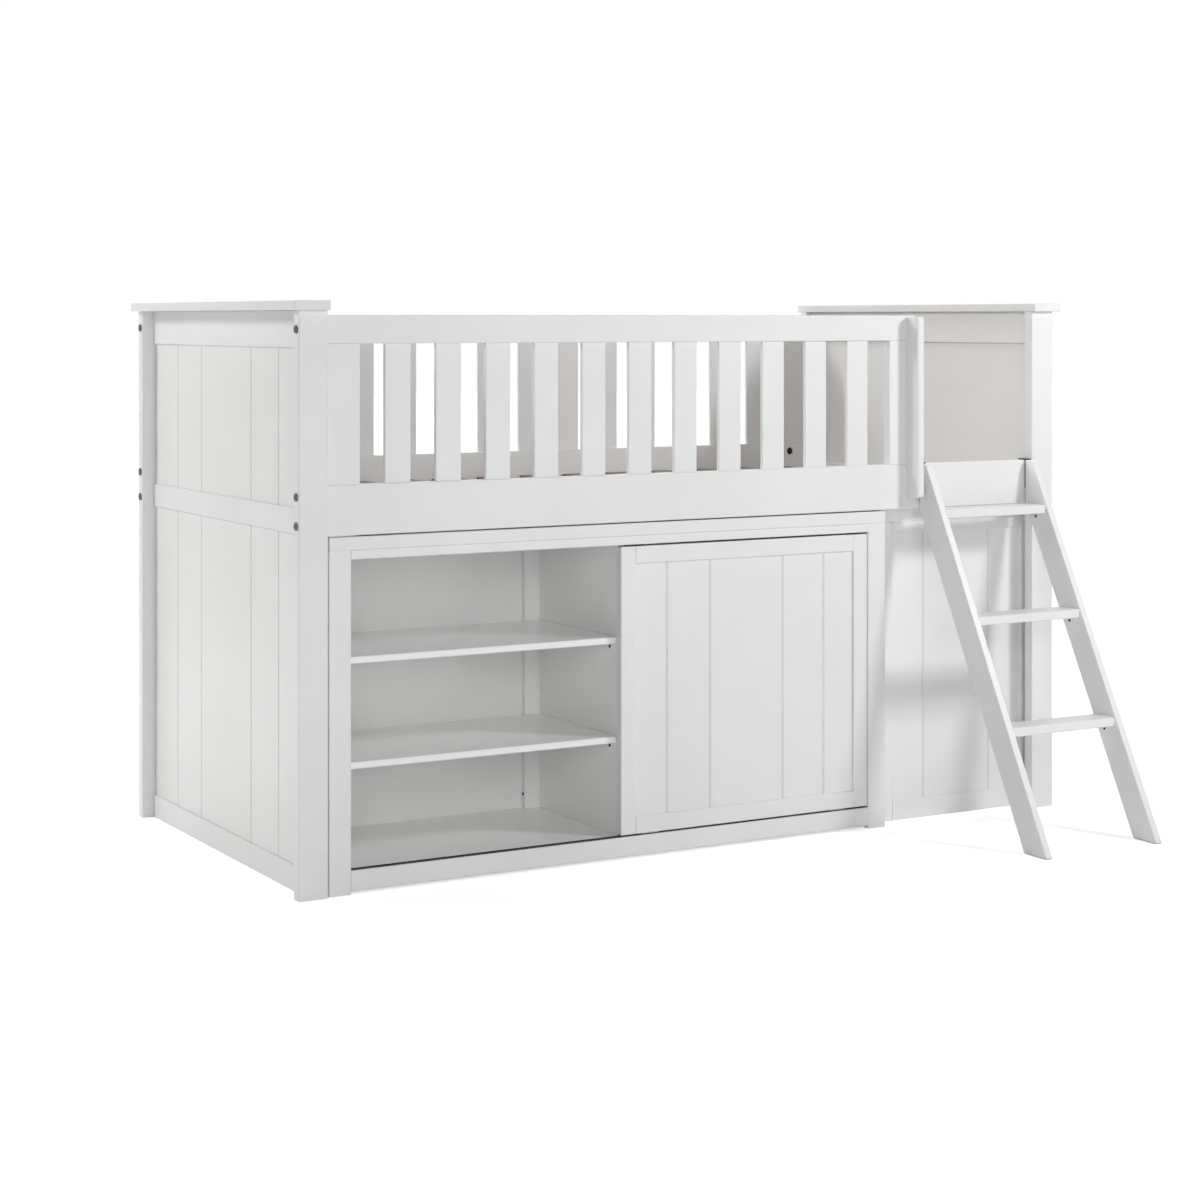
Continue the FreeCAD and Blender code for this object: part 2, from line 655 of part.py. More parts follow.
def half_moon_nut(name, corner, turn):
    body = doc.addObject("PartDesign::Body", name)
    half_disc = add_feature(body, "PartDesign::AdditiveCylinder", "half_disc")
    half_disc.AttachmentSupport = [(origin_part(body, "XY_Plane"), "")]
    half_disc.MapMode = "FlatFace"
    # The rounded side looks back to the bolt's head, where the pull is
    half_disc.AttachmentOffset = FreeCAD.Placement(FreeCAD.Vector(), FreeCAD.Rotation(0, -90, 90))
    half_disc.setExpression("AttachmentOffset.Base.y", "size.nut_thick / 2")
    half_disc.Angle = 180
    half_disc.setExpression("Radius", "size.nut_bore_diameter / 2 - size.nut_play")
    half_disc.setExpression("Height", "size.nut_thick")
    hole = outline(body, "YZ_Plane", SHANK)
    threaded = add_feature(body, "PartDesign::Pocket", "threaded_hole")
    threaded.Profile = hole
    threaded.Type = "ThroughAll"
    threaded.Midplane = True
    body.Placement = FreeCAD.Placement(FreeCAD.Vector(), FreeCAD.Rotation(FreeCAD.Vector(0, 0, 1), turn))
    bind(body, "Placement", corner)
    return body


bolts = []
nuts = []
for side, bolt_y in (("front", "place.front + place.bolt_inset"), ("rear", "place.rear - place.bolt_inset")):
    for height in ("guard_bolt", "upper_bolt", "lower_bolt"):
        bolt_z = f"place.{height}"
        bolts.append(bolt(f"{side}_left_{height}", ("place.left - size.bolt_head_thick", bolt_y, bolt_z), 0))
        nuts.append(half_moon_nut(f"{side}_left_{height}_nut",
                                  ("place.inner_left + size.bolt_reach", bolt_y, bolt_z), 0))
        if (side, height) == ("front", "guard_bolt"):
            continue
        bolts.append(bolt(f"{side}_right_{height}", ("place.right + size.bolt_head_thick", bolt_y, bolt_z), 180))
        nuts.append(half_moon_nut(f"{side}_right_{height}_nut",
                                  ("place.inner_right - size.bolt_reach", bolt_y, bolt_z), 180))
gather("frame_bolts", bolts)
gather("half_moon_nuts", nuts)

# Cabinet carcass: top, bottom, sides, divider and back, with battens in the rear corners of the bays
board("cabinet_top",
      ("size.cabinet_width", "place.carcass_back - place.face_front + size.cabinet_top_lip",
       "size.cabinet_top_thick"),
      ("place.cabinet_left", "place.face_front - size.cabinet_top_lip", "place.under_top"))
board("cabinet_bottom",
      ("size.cabinet_width - 2 * size.board_thick", "place.back_face - place.carcass_front", "size.board_thick"),
      ("place.bay_left", "place.carcass_front", "place.opening_bottom - size.board_thick"), "")
board("cabinet_back",
      ("size.cabinet_width - 2 * size.board_thick", "size.back_thick",
       "place.under_top - place.opening_bottom + size.board_thick"),
      ("place.bay_left", "place.back_face", "place.opening_bottom - size.board_thick"), "")
battens = board("back_battens",
                ("size.batten_width", "size.batten_thick", "place.under_top - place.opening_bottom"),
                ("place.bay_left", "place.back_face - size.batten_thick", "place.opening_bottom"), "")
repeat(battens, "X_Axis", "2", "place.bay_width - size.batten_width", "X_Axis", "place.bay_pitch")

# Upright boards of the carcass: the sides stand on the floor, the divider on the bottom board
for side, side_x in (("left", "place.cabinet_left"), ("right", "place.cabinet_right - size.board_thick")):
    board(f"cabinet_{side}_side", ("size.board_thick", "size.cabinet_depth", "place.under_top"),
          (side_x, "place.carcass_front", "0"), "")
board("cabinet_divider",
      ("size.board_thick", "place.back_face - place.bay_front", "place.under_top - place.opening_bottom"),
      ("place.bay_left + place.bay_width", "place.bay_front", "place.opening_bottom"), "Z")

# Face frame: two stiles to the floor, a head rail and a plinth, both rebated for the door tracks
for side, stile_x in (("left", "place.cabinet_left"), ("right", "place.cabinet_right - size.face_stile_width")):
    board(f"cabinet_{side}_stile", ("size.face_stile_width", "size.face_thick", "place.under_top"),
          (stile_x, "place.face_front", "0"), "Z")
track_rebate_y = "place.track_front - place.face_front"
track_rebate = (f"place.opening_width + 2 * {OVER}", "size.track_width", f"size.track_height + {OVER}")
head_rail = board("cabinet_head_rail", ("place.opening_width", "size.face_thick", "size.head_rail_height"),
                  ("place.opening_left", "place.face_front", "place.under_top - size.head_rail_height"), "X")
cut_slot(head_rail, (f"-{OVER}", track_rebate_y, f"-{OVER}"), track_rebate)
plinth = board("cabinet_plinth", ("place.opening_width", "size.face_thick", "size.plinth_height"),
               ("place.opening_left", "place.face_front", "size.plinth_gap"), "X")
cut_slot(plinth, (f"-{OVER}", track_rebate_y, "place.lower_track_bottom - size.plinth_gap"), track_rebate)


# Two shelves in each bay, resting on small angle brackets
def bracket_pair(name, span, corner):
    """Two small angle brackets on facing walls, under what lies across from wall to wall."""
    body = doc.addObject("PartDesign::Body", name)
    wall = f"{span} / 2"
    leg = "size.bracket_leg"
    thick = "size.bracket_thick"
    pad_outline(body, "XZ_Plane",
                [(f"-{wall}", "0"), (f"{thick} - {wall}", "0"), (f"{thick} - {wall}", f"{leg} - {thick}"),
                 (f"{leg} - {wall}", f"{leg} - {thick}"), (f"{leg} - {wall}", leg), (f"-{wall}", leg)],
                "size.bracket_width", both_ways=True)
    mirror_body(body, "YZ_Plane")
    bind(body, "Placement", corner)
    return body


shelf_brackets = []
for side, bay in (("left", 0), ("right", 1)):
    bay_x = f"place.bay_left + {bay} * place.bay_pitch"
    shelves = board(f"{side}_shelves",
                    ("place.bay_width - 2 * size.shelf_play", "place.bay_depth", "size.shelf_thick"),
                    (f"{bay_x} + size.shelf_play", "place.bay_front", "place.first_shelf"), "X")
    repeat(shelves, "Z_Axis", "2", "place.shelf_pitch")
    pairs = bracket_pair(f"{side}_shelf_brackets", "place.bay_width",
                         (f"{bay_x} + place.bay_width / 2",
                          "place.bay_front + size.shelf_bracket_inset + size.bracket_width / 2",
                          "place.first_shelf - size.bracket_leg"))
    repeat(pairs, "Y_Axis", "2", "place.bay_depth - 2 * size.shelf_bracket_inset - size.bracket_width",
           "Z_Axis", "place.shelf_pitch")
    shelf_brackets.append(pairs)
gather("shelf_brackets", shelf_brackets)


# Door tracks: channels let into the plinth and the head rail, open towards the door.
# The lower one stands a little proud of the plinth.
def track(name, corner_z, channel_z):
    body = board(name, ("place.opening_width", "size.track_width", "size.track_height"),
                 ("place.opening_left", "place.track_front", corner_z), "")
    cut_slot(body, (f"-{OVER}", "size.track_wall", channel_z),
             (f"place.opening_width + 2 * {OVER}", "size.track_width - 2 * size.track_wall",
              f"size.track_height - size.track_wall + {OVER}"))


track("lower_door_track", "place.lower_track_bottom", "size.track_wall")
track("upper_door_track", "place.opening_bottom + place.opening_height", f"-{OVER}")

# Sliding door: stiles and rails grooved for a planked panel, glides below and guides above
door_groove_y = "size.panel_setback - size.groove_play"
door_half = "place.door_width / 2"
member = "size.door_member_width"
door_stiles = doc.addObject("PartDesign::Body", "door_stiles")
stile_prism = pad_outline(door_stiles, "XY_Plane",
                          [(f"-{door_half}", "0"), (f"{member} - {door_half}", "0"),
                           (f"{member} - {door_half}", "size.door_thick"), (f"-{door_half}", "size.door_thick")],
                          "place.door_height")
ease_edges(door_stiles, stile_prism)
cut_slot(door_stiles, (f"{member} - {door_half} - size.groove_depth", door_groove_y, f"-{OVER}"),
         (f"size.groove_depth + {OVER}", GROOVE_WIDTH, f"place.door_height + 2 * {OVER}"))
mirror_body(door_stiles, "YZ_Plane")
bind(door_stiles, "Placement", ("place.door_middle", "place.door_front", "place.door_bottom"))
add_node(door_stiles)

door_rails = []
for rail_name, rail_z, groove_z in (("door_top_rail", f"place.door_height - {member}", f"-{OVER}"),
                                    ("door_bottom_rail", "0", f"{member} - size.groove_depth")):
    rail = board(rail_name, ("place.door_clear_width", "size.door_thick", member),
                 ("place.door_middle - place.door_clear_width / 2", "place.door_front",
                  f"place.door_bottom + {rail_z}"), "X")
    cut_slot(rail, (f"-{OVER}", door_groove_y, groove_z),
             (f"place.door_clear_width + 2 * {OVER}", GROOVE_WIDTH, f"size.groove_depth + {OVER}"))
    door_rails.append(rail)
gather("door_rails", door_rails)
plank_panel("door_panel", "place.door_clear_width", "place.door_clear_height",
            ("place.door_middle", "place.door_front + size.panel_setback",
             f"place.door_bottom + {member} - size.groove_depth"),
            ("size.door_inner_vee_share", "size.door_outer_vee_share"))

glide_x = "place.door_middle - place.door_width / 2 + size.glide_inset"
glide_span = "place.door_width - 2 * size.glide_inset - size.glide_length"
glides = board("door_glides",
               ("size.glide_length", "place.glide_thick", "place.door_bottom - place.glide_bottom"),
               (glide_x, "place.glide_front", "place.glide_bottom"), "")
repeat(glides, "X_Axis", "2", glide_span)
guides = board("door_guides",
               ("size.glide_length", "place.glide_thick", "size.door_top_gap + size.guide_reach"),
               (glide_x, "place.glide_front", "place.door_bottom + place.door_height"), "")
repeat(guides, "X_Axis", "2", glide_span)

# Access panel right of the cabinet: a framed planked panel under a cleat, set back from the front
access_groove_y = "size.panel_setback - size.groove_play"
stiles = []
for side, stile_x, stile_width, groove_x in (
        ("left", "place.access_left", "size.access_left_stile_width",
         "size.access_left_stile_width - size.groove_depth"),
        ("right", "place.access_right - size.access_right_stile_width", "size.access_right_stile_width",
         f"-{OVER}")):
    stile = board(f"access_{side}_stile", (stile_width, "size.access_thick", "place.access_height"),
                  (stile_x, "place.access_front", "0"), "Z")
    cut_slot(stile, (groove_x, access_groove_y, f"-{OVER}"),
             (f"size.groove_depth + {OVER}", GROOVE_WIDTH, f"place.access_height + 2 * {OVER}"))
    stiles.append(stile)
gather("access_stiles", stiles)
rails = []
for level, rail_z, rail_height, groove_z in (
        ("top", "place.access_height - size.access_top_rail_height", "size.access_top_rail_height", f"-{OVER}"),
        ("bottom", "0", "size.access_bottom_rail_height",
         "size.access_bottom_rail_height - size.groove_depth")):
    rail = board(f"access_{level}_rail", ("place.access_clear_width", "size.access_thick", rail_height),
                 ("place.access_inner_left", "place.access_front", rail_z), "X")
    cut_slot(rail, (f"-{OVER}", access_groove_y, groove_z),
             (f"place.access_clear_width + 2 * {OVER}", GROOVE_WIDTH, f"size.groove_depth + {OVER}"))
    rails.append(rail)
gather("access_rails", rails)
plank_panel("access_panel", "place.access_clear_width", "place.access_clear_height",
            ("place.access_inner_left + place.access_clear_width / 2",
             "place.access_front + size.panel_setback",
             "size.access_bottom_rail_height - size.groove_depth"), ("size.access_vee_share",))
board("access_cleat", ("place.access_right - place.access_left", "size.access_thick", "size.cleat_height"),
      ("place.access_left", "place.access_front", "place.access_height"), "X")


# Ladder stringers: plumb where they lie against the side rail, leaning below, flat at the floor
def stringer(name, x):
    body = doc.addObject("PartDesign::Body", name)
    back = "size.stringer_foot_depth + size.ladder_run"
    corners = [("0", "0"), ("size.stringer_foot_depth", "0"), (back, "place.plumb_bottom"),
               (back, "place.plumb_top"), ("place.lean * place.plumb_top", "place.plumb_top")]
    prism = pad_outline(body, "YZ_Plane", corners, "size.stringer_thick")
    middle = number("place.plumb_top") / 2
    plumb = number(back)
    nose = edges_where(prism, lambda edge: edge.BoundBox.ZMin > middle and edge.BoundBox.YMax < plumb
                       and edge.BoundBox.XLength > edge.BoundBox.ZLength)
    rounding = add_feature(body, "PartDesign::Fillet", "nose")
    rounding.Base = (prism, nose)
    rounding.setExpression("Radius", "size.stringer_round")
    ease_edges(body, rounding, edges_where(rounding, lambda edge: edge.BoundBox.ZMax > middle))
    bind(body, "Placement", (x, "place.foot_front", "size.foot_pad_thick"))
    add_node(body)


stringer_pitch = "size.ladder_width - size.stringer_thick"
stringer("ladder_left_stringer", "place.ladder_left")
stringer("ladder_right_stringer", f"place.ladder_left + {stringer_pitch}")

# Treads between the stringers, each on a pair of small angle brackets
treads = []
tread_brackets = []
for step in range(int(number("size.tread_count"))):
    tread_top = f"(size.first_tread_height + {step} * size.tread_pitch)"
    tread_y = f"place.foot_front + place.lean * ({tread_top} - size.foot_pad_thick) + size.tread_setback"
    tread = board(f"tread_{step}", ("place.ladder_clear", "size.tread_depth", "size.tread_thick"),
                  ("place.ladder_left + size.stringer_thick", tread_y, f"{tread_top} - size.tread_thick"),
                  "X")
    treads.append(tread)
    tread_brackets.append(bracket_pair(f"bracket_{step}", "place.ladder_clear",
                                       ("place.ladder_middle", f"{tread_y} + size.tread_depth / 2",
                                        f"{tread_top} - size.tread_thick - size.bracket_leg")))
gather("ladder_treads", treads)
gather("tread_brackets", tread_brackets)

# Steel hooks over the side rail, one behind the top of each stringer
hooks = doc.addObject("PartDesign::Body", "ladder_hooks")
strap = "size.hook_thick"
far = f"{strap} + place.hook_gap"
rear_leg_z = "size.hook_front_leg - size.hook_rear_leg"
top_z = f"size.hook_front_leg + {strap}"
pad_outline(hooks, "YZ_Plane",
            [("0", "0"), (strap, "0"), (strap, "size.hook_front_leg"), (far, "size.hook_front_leg"),
             (far, rear_leg_z), (f"{far} + {strap}", rear_leg_z), (f"{far} + {strap}", top_z), ("0", top_z)],
            "size.hook_width")
repeat(hooks, "X_Axis", "2", stringer_pitch)
bind(hooks, "Placement", ("place.ladder_left + (size.stringer_thick - size.hook_width) / 2",
                          "place.stringer_back", "place.side_rail_top - size.hook_front_leg"))
add_node(hooks)

# Rubber pads under the ladder's feet
pads = board("ladder_foot_pads",
             ("size.stringer_thick - 2 * size.foot_pad_inset",
              "size.stringer_foot_depth - 2 * size.foot_pad_inset", "size.foot_pad_thick"),
             ("place.ladder_left + size.foot_pad_inset", "place.foot_front + size.foot_pad_inset", "0"), "")
repeat(pads, "X_Axis", "2", stringer_pitch)

doc.recompute()

# Nothing is written unless every object is sound
for item in doc.Objects:
    if "Invalid" in item.State or "Error" in item.State:
        raise RuntimeError(f"{item.Label} failed: {item.State}")
for node in nodes:
    if node.Shape.isNull() or not node.Shape.isValid():
        raise RuntimeError(f"{node.Label} has no sound shape")

os.makedirs("parts", exist_ok=True)
for node in nodes:
    node.Shape.exportStep(f"parts/{node.Label}.step")
    print(node.Label, len(node.Shape.Solids), round(node.Shape.Volume))
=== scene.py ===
import math
import bpy
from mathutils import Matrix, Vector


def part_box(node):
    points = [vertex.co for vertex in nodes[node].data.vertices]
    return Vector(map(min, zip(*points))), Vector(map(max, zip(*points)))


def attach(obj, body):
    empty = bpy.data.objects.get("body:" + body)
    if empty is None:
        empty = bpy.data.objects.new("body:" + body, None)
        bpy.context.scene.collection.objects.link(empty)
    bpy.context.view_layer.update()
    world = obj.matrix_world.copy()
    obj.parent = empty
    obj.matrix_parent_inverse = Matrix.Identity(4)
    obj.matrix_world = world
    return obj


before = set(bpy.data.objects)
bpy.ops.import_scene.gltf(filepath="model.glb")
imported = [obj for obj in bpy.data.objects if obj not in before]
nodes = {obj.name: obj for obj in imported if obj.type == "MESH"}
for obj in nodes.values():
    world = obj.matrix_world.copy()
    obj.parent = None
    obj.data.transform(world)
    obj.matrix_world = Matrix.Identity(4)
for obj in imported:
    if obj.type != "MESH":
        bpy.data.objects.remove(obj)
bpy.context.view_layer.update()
bpy.ops.object.select_all(action="DESELECT")


# Corner posts: four upright boards of solid wood, grooved for the end panels and sprayed with satin white.
# The grain stands faintly through the paint along each board, and the coat is thinner along the eased edges;
# there and in inside corners the colour is darker, partly as that wear and partly as painted shade.
ALONG_BED = 0
ACROSS_BED = 1
UPRIGHT = 2
NOISE_BAND = (0.30, 0.70)
PAINT_EDGE = 0.0016
WHITE_COAT = (0.860, 0.860, 0.858)
WHITE_SHADE = (0.825, 0.825, 0.821)
# Darker edge colour: thinner worn paint on the arrises, and painted shade in inside corners and along corner
# lines.
THIN_COAT_AND_EDGE_SHADE = (0.755, 0.745, 0.722)
PLAIN_COVER = (0.30, 0.60)
SATIN_SHEEN = (0.30, 0.40)


def start_finish(name):
    finish = bpy.data.materials.new(name)
    finish.use_nodes = True
    tree = finish.node_tree
    place = tree.nodes.new("ShaderNodeTexCoord").outputs["Object"]
    return finish, tree, place


def lay(tree, kind, values, wires):
    step = tree.nodes.new(kind)
    for socket, value in values.items():
        step.inputs[socket].default_value = value
    for socket, source in wires.items():
        tree.links.new(source, step.inputs[socket])
    return step


def drawn_out(tree, place, along, share):
    stretch = [1.0, 1.0, 1.0]
    stretch[along] = share
    return lay(tree, "ShaderNodeMapping", {"Scale": stretch}, {"Vector": place}).outputs["Vector"]


def noise(tree, place, values):
    return lay(tree, "ShaderNodeTexNoise", values, {"Vector": place}).outputs["Fac"]


def spread(tree, value, start, result):
    limits = {"From Min": start[0], "From Max": start[1], "To Min": result[0], "To Max": result[1]}
    return lay(tree, "ShaderNodeMapRange", limits, {"Value": value}).outputs["Result"]


def combine(tree, operation, first, second):
    step = tree.nodes.new("ShaderNodeMath")
    step.operation = operation
    tree.links.new(first, step.inputs[0])
    tree.links.new(second, step.inputs[1])
    return step.outputs["Value"]


def two_tones(tree, factor, first, second):
    ramp = tree.nodes.new("ShaderNodeValToRGB")
    for stop, (position, colour) in zip(ramp.color_ramp.elements, (first, second)):
        stop.position = position
        stop.color = (*colour, 1)
    tree.links.new(factor, ramp.inputs["Fac"])
    return ramp.outputs["Color"]


def over(tree, factor, under, colour):
    mix = tree.nodes.new("ShaderNodeMix")
    mix.data_type = "RGBA"
    tree.links.new(factor, mix.inputs[0])
    tree.links.new(under, mix.inputs[6])
    mix.inputs[7].default_value = (*colour, 1)
    return mix.outputs[2]


def eased_edges(tree, reach):
    bevel = lay(tree, "ShaderNodeBevel", {"Radius": reach}, {})
    bevel.samples = 8
    surface = tree.nodes.new("ShaderNodeNewGeometry")
    turn = tree.nodes.new("ShaderNodeVectorMath")
    turn.operation = "DOT_PRODUCT"
    tree.links.new(bevel.outputs["Normal"], turn.inputs[0])
    tree.links.new(surface.outputs["Normal"], turn.inputs[1])
    nearness = spread(tree, turn.outputs["Value"], (0.80, 0.995), (1.0, 0.0))
    return bevel.outputs["Normal"], nearness


def relief(tree, height, under, strength, distance):
    values = {"Strength": strength, "Distance": distance}
    return lay(tree, "ShaderNodeBump", values, {"Height": height, "Normal": under}).outputs["Normal"]


def wire_shader(tree, colour, gloss, normal):
    shader = tree.nodes["Principled BSDF"]
    tree.links.new(colour, shader.inputs["Base Color"])
    tree.links.new(gloss, shader.inputs["Roughness"])
    tree.links.new(normal, shader.inputs["Normal"])
    return shader


def painted_wood(name, along, coat, shade, edge_wear_and_shade, cover=PLAIN_COVER, sheen=SATIN_SHEEN):
    finish, tree, place = start_finish(name)
    laid = drawn_out(tree, place, along, share=0.035)
    grain = noise(tree, laid, {"Scale": 120.0, "Detail": 5.0, "Roughness": 0.6, "Distortion": 0.5})
    drift = noise(tree, place, {"Scale": 3.1, "Detail": 3.0})
    spray = noise(tree, place, {"Scale": 520.0, "Detail": 2.0})
    wear = noise(tree, place, {"Scale": 34.0, "Detail": 4.0})
    rounded, edge = eased_edges(tree, PAINT_EDGE)
    # Edges and inside corners take the darker edge colour: partly worn thin paint, partly painted shade; on
    # the planked sheets it is painted shade in the V grooves.
    edge_wear_and_shade_mask = combine(tree, "MULTIPLY", edge, spread(tree, wear, NOISE_BAND, cover))
    streak = spread(tree, grain, (0.52, 0.80), (0.0, 0.22))
    colour = two_tones(tree, drift, (0.32, shade), (0.62, coat))
    colour = over(tree, streak, colour, shade)
    colour = over(tree, edge_wear_and_shade_mask, colour, edge_wear_and_shade)
    gloss = spread(tree, spray, NOISE_BAND, sheen)
    normal = relief(tree, grain, rounded, strength=0.05, distance=0.0004)
    normal = relief(tree, spray, normal, strength=0.04, distance=0.0001)
    wire_shader(tree, colour, gloss, normal)
    return finish


def finish_with(paint, *names):
    for name in names:
        nodes[name].data.materials.clear()
        nodes[name].data.materials.append(paint)


upright_paint = painted_wood("upright_white_paint", UPRIGHT, WHITE_COAT, WHITE_SHADE, THIN_COAT_AND_EDGE_SHADE)
finish_with(upright_paint, "front_left_post", "front_right_post", "rear_left_post", "rear_right_post")


# End caps: flat boards laid along the top of each end, overhanging the posts a little on every side.
# Painted as the posts, with the grain running across the bed.
crosswise_paint = painted_wood("crosswise_white_paint", ACROSS_BED, WHITE_COAT, WHITE_SHADE, THIN_COAT_AND_EDGE_SHADE)
finish_with(crosswise_paint, "left_end_cap", "right_end_cap")


# End rails: three boards between the posts of each end, grooved along their edges for the panels.
# Solid wood with the same coat, grain running across the bed.
finish_with(crosswise_paint, "left_end_top_rail", "left_end_middle_rail", "left_end_bottom_rail")
finish_with(crosswise_paint, "right_end_top_rail", "right_end_middle_rail", "right_end_bottom_rail")


# End panels: thin planked sheets with V grooves between the planks, held loose in grooves of posts and rails.
# The coat is a touch warmer here than on the solid members, and the grooves are painted near black as shade.
PANEL_COAT = (0.860, 0.857, 0.849)
PANEL_SHADE = (0.828, 0.824, 0.813)
# Painted shade laid into the V grooves.
GROOVE_PAINTED_SHADE = (0.100, 0.096, 0.088)
GROOVE_COVER = (0.75, 1.0)
panel_paint = painted_wood("panel_white_paint", UPRIGHT, PANEL_COAT, PANEL_SHADE, GROOVE_PAINTED_SHADE, GROOVE_COVER)
finish_with(panel_paint, "left_end_upper_panel", "left_end_lower_panel")
finish_with(panel_paint, "right_end_upper_panel", "right_end_lower_panel")


# Side rails and guard rails: long boards from end to end, bolted to the posts through their ends.
# Painted solid wood, grain running along the bed.
lengthwise_paint = painted_wood("lengthwise_white_paint", ALONG_BED, WHITE_COAT, WHITE_SHADE, THIN_COAT_AND_EDGE_SHADE)
finish_with(lengthwise_paint, "front_side_rail", "rear_side_rail", "front_guard_rail", "rear_guard_rail")


# Guard uprights: wide stiles at the ends of each guard and narrow slats between them, tenoned into the rails.
# Painted solid wood, grain upright.
finish_with(upright_paint, "front_guard_stiles", "front_guard_slats", "rear_guard_stiles", "rear_guard_slats")


# Slat base: two painted ledgers along the side rails, and planed slats of bare wood that lie across them.
# The bare wood is a warm brown with darker growth lines along each slat and fine open pores.
SLAT_PALE = (0.360, 0.290, 0.225)
SLAT_DARK = (0.225, 0.170, 0.122)
PORE_DARK = (0.135, 0.0935, 0.061)
SLAT_EDGE = 0.0015


def bare_wood(name, along, pale, dark, pore):
    finish, tree, place = start_finish(name)
    laid = drawn_out(tree, place, along, share=0.05)
    rings = noise(tree, laid, {"Scale": 46.0, "Detail": 6.0, "Roughness": 0.62, "Distortion": 1.4})
    pores = noise(tree, laid, {"Scale": 700.0, "Detail": 3.0, "Roughness": 0.7})
    board = noise(tree, place, {"Scale": 4.0, "Detail": 2.0})
    rounded = eased_edges(tree, SLAT_EDGE)[0]
    flush = spread(tree, board, (0.40, 0.70), (0.0, 0.45))
    pitted = spread(tree, pores, (0.60, 0.75), (0.0, 0.5))
    colour = two_tones(tree, rings, (0.34, pale), (0.66, dark))
    colour = over(tree, flush, colour, dark)
    colour = over(tree, pitted, colour, pore)
    gloss = spread(tree, rings, NOISE_BAND, (0.50, 0.72))
    normal = relief(tree, pores, rounded, strength=0.35, distance=0.0004)
    wire_shader(tree, colour, gloss, normal)
    return finish


finish_with(lengthwise_paint, "slat_ledgers")
finish_with(bare_wood("bare_slat_wood", ACROSS_BED, SLAT_PALE, SLAT_DARK, PORE_DARK), "bed_slats")


# Grab handle: an upright board, rounded at its front, screwed from behind to the two rails beside the ladder.
# Painted as the posts; hands have polished its edges a little, and its edges are darker, partly as that wear
# and partly as painted shade.
POLISHED_COAT_AND_EDGE_SHADE = (0.772, 0.762, 0.745)
handle_paint = painted_wood("handle_white_paint", UPRIGHT, WHITE_COAT, WHITE_SHADE, POLISHED_COAT_AND_EDGE_SHADE)
finish_with(handle_paint, "grab_handle")


# Frame bolts and half-moon nuts: flat-headed bolts through the posts, pulled up by nuts in the rails' bores.
# Steel burnished dark brown, with fine turning marks, and a little lighter at the rims: partly rubbed wear,
# partly a painted highlight.
STEEL_EDGE = 0.0006


def plated_steel(name, bright, dull, rubbed_and_sheen):
    finish, tree, place = start_finish(name)
    blotch = noise(tree, place, {"Scale": 130.0, "Detail": 4.0})
    marks = noise(tree, place, {"Scale": 1900.0, "Detail": 2.0})
    rounded, edge = eased_edges(tree, STEEL_EDGE)
    colour = two_tones(tree, blotch, (0.35, dull), (0.65, bright))
    # Rims take the lighter colour: rubbed wear and a painted highlight along the edges.
    colour = over(tree, edge, colour, rubbed_and_sheen)
    gloss = spread(tree, blotch, NOISE_BAND, (0.24, 0.42))
    normal = relief(tree, marks, rounded, strength=0.2, distance=0.0001)
    shader = wire_shader(tree, colour, gloss, normal)
    shader.inputs["Metallic"].default_value = 1.0
    return finish


burnished_steel = plated_steel(
    "burnished_steel",
    bright=(0.115, 0.102, 0.085),
    dull=(0.055, 0.048, 0.040),
    rubbed_and_sheen=(0.230, 0.208, 0.176),
)
finish_with(burnished_steel, "frame_bolts", "half_moon_nuts")


# Cabinet carcass: top, bottom, two sides and a divider of painted board, screwed together under the bed.
# The back is a thin sheet held by upright battens in the rear corners of both bays.
# The boards are whiter than the solid members: partly a whiter board, partly painted light that brightens the
# inside of the bays.
BOARD_COAT_AND_BAY_LIGHT = (0.945, 0.942, 0.933)
BOARD_SHADE_AND_BAY_LIGHT = (0.930, 0.926, 0.915)
BOARD_SHEEN = (0.14, 0.22)
upright_board = painted_wood(
    "upright_board_white", UPRIGHT, BOARD_COAT_AND_BAY_LIGHT, BOARD_SHADE_AND_BAY_LIGHT, THIN_COAT_AND_EDGE_SHADE, PLAIN_COVER, BOARD_SHEEN
)
lengthwise_board = painted_wood(
    "lengthwise_board_white", ALONG_BED, BOARD_COAT_AND_BAY_LIGHT, BOARD_SHADE_AND_BAY_LIGHT, THIN_COAT_AND_EDGE_SHADE, PLAIN_COVER, BOARD_SHEEN
)
finish_with(lengthwise_paint, "cabinet_top")
finish_with(lengthwise_board, "cabinet_bottom")
finish_with(upright_board, "cabinet_left_side", "cabinet_right_side", "cabinet_divider")
finish_with(upright_board, "cabinet_back", "back_battens")


# Face frame: two stiles, a head rail and a plinth round the cabinet's front, rebated for the door tracks.
# Painted solid wood, each member with its grain along its length.
finish_with(upright_paint, "cabinet_left_stile", "cabinet_right_stile")
finish_with(lengthwise_paint, "cabinet_head_rail", "cabinet_plinth")


# Shelves: two boards in each bay that lie on small angle brackets.
# Painted as the carcass, grain along the bed.
finish_with(lengthwise_board, "left_shelves", "right_shelves")


# Shelf brackets: small folded steel angles, screwed to the uprights and under each shelf end.
# Their white lacquer has a fine orange-peel skin and is knocked off a little at the corners.
LACQUER_EDGE = 0.0008
SKIN_SWING = 0.12


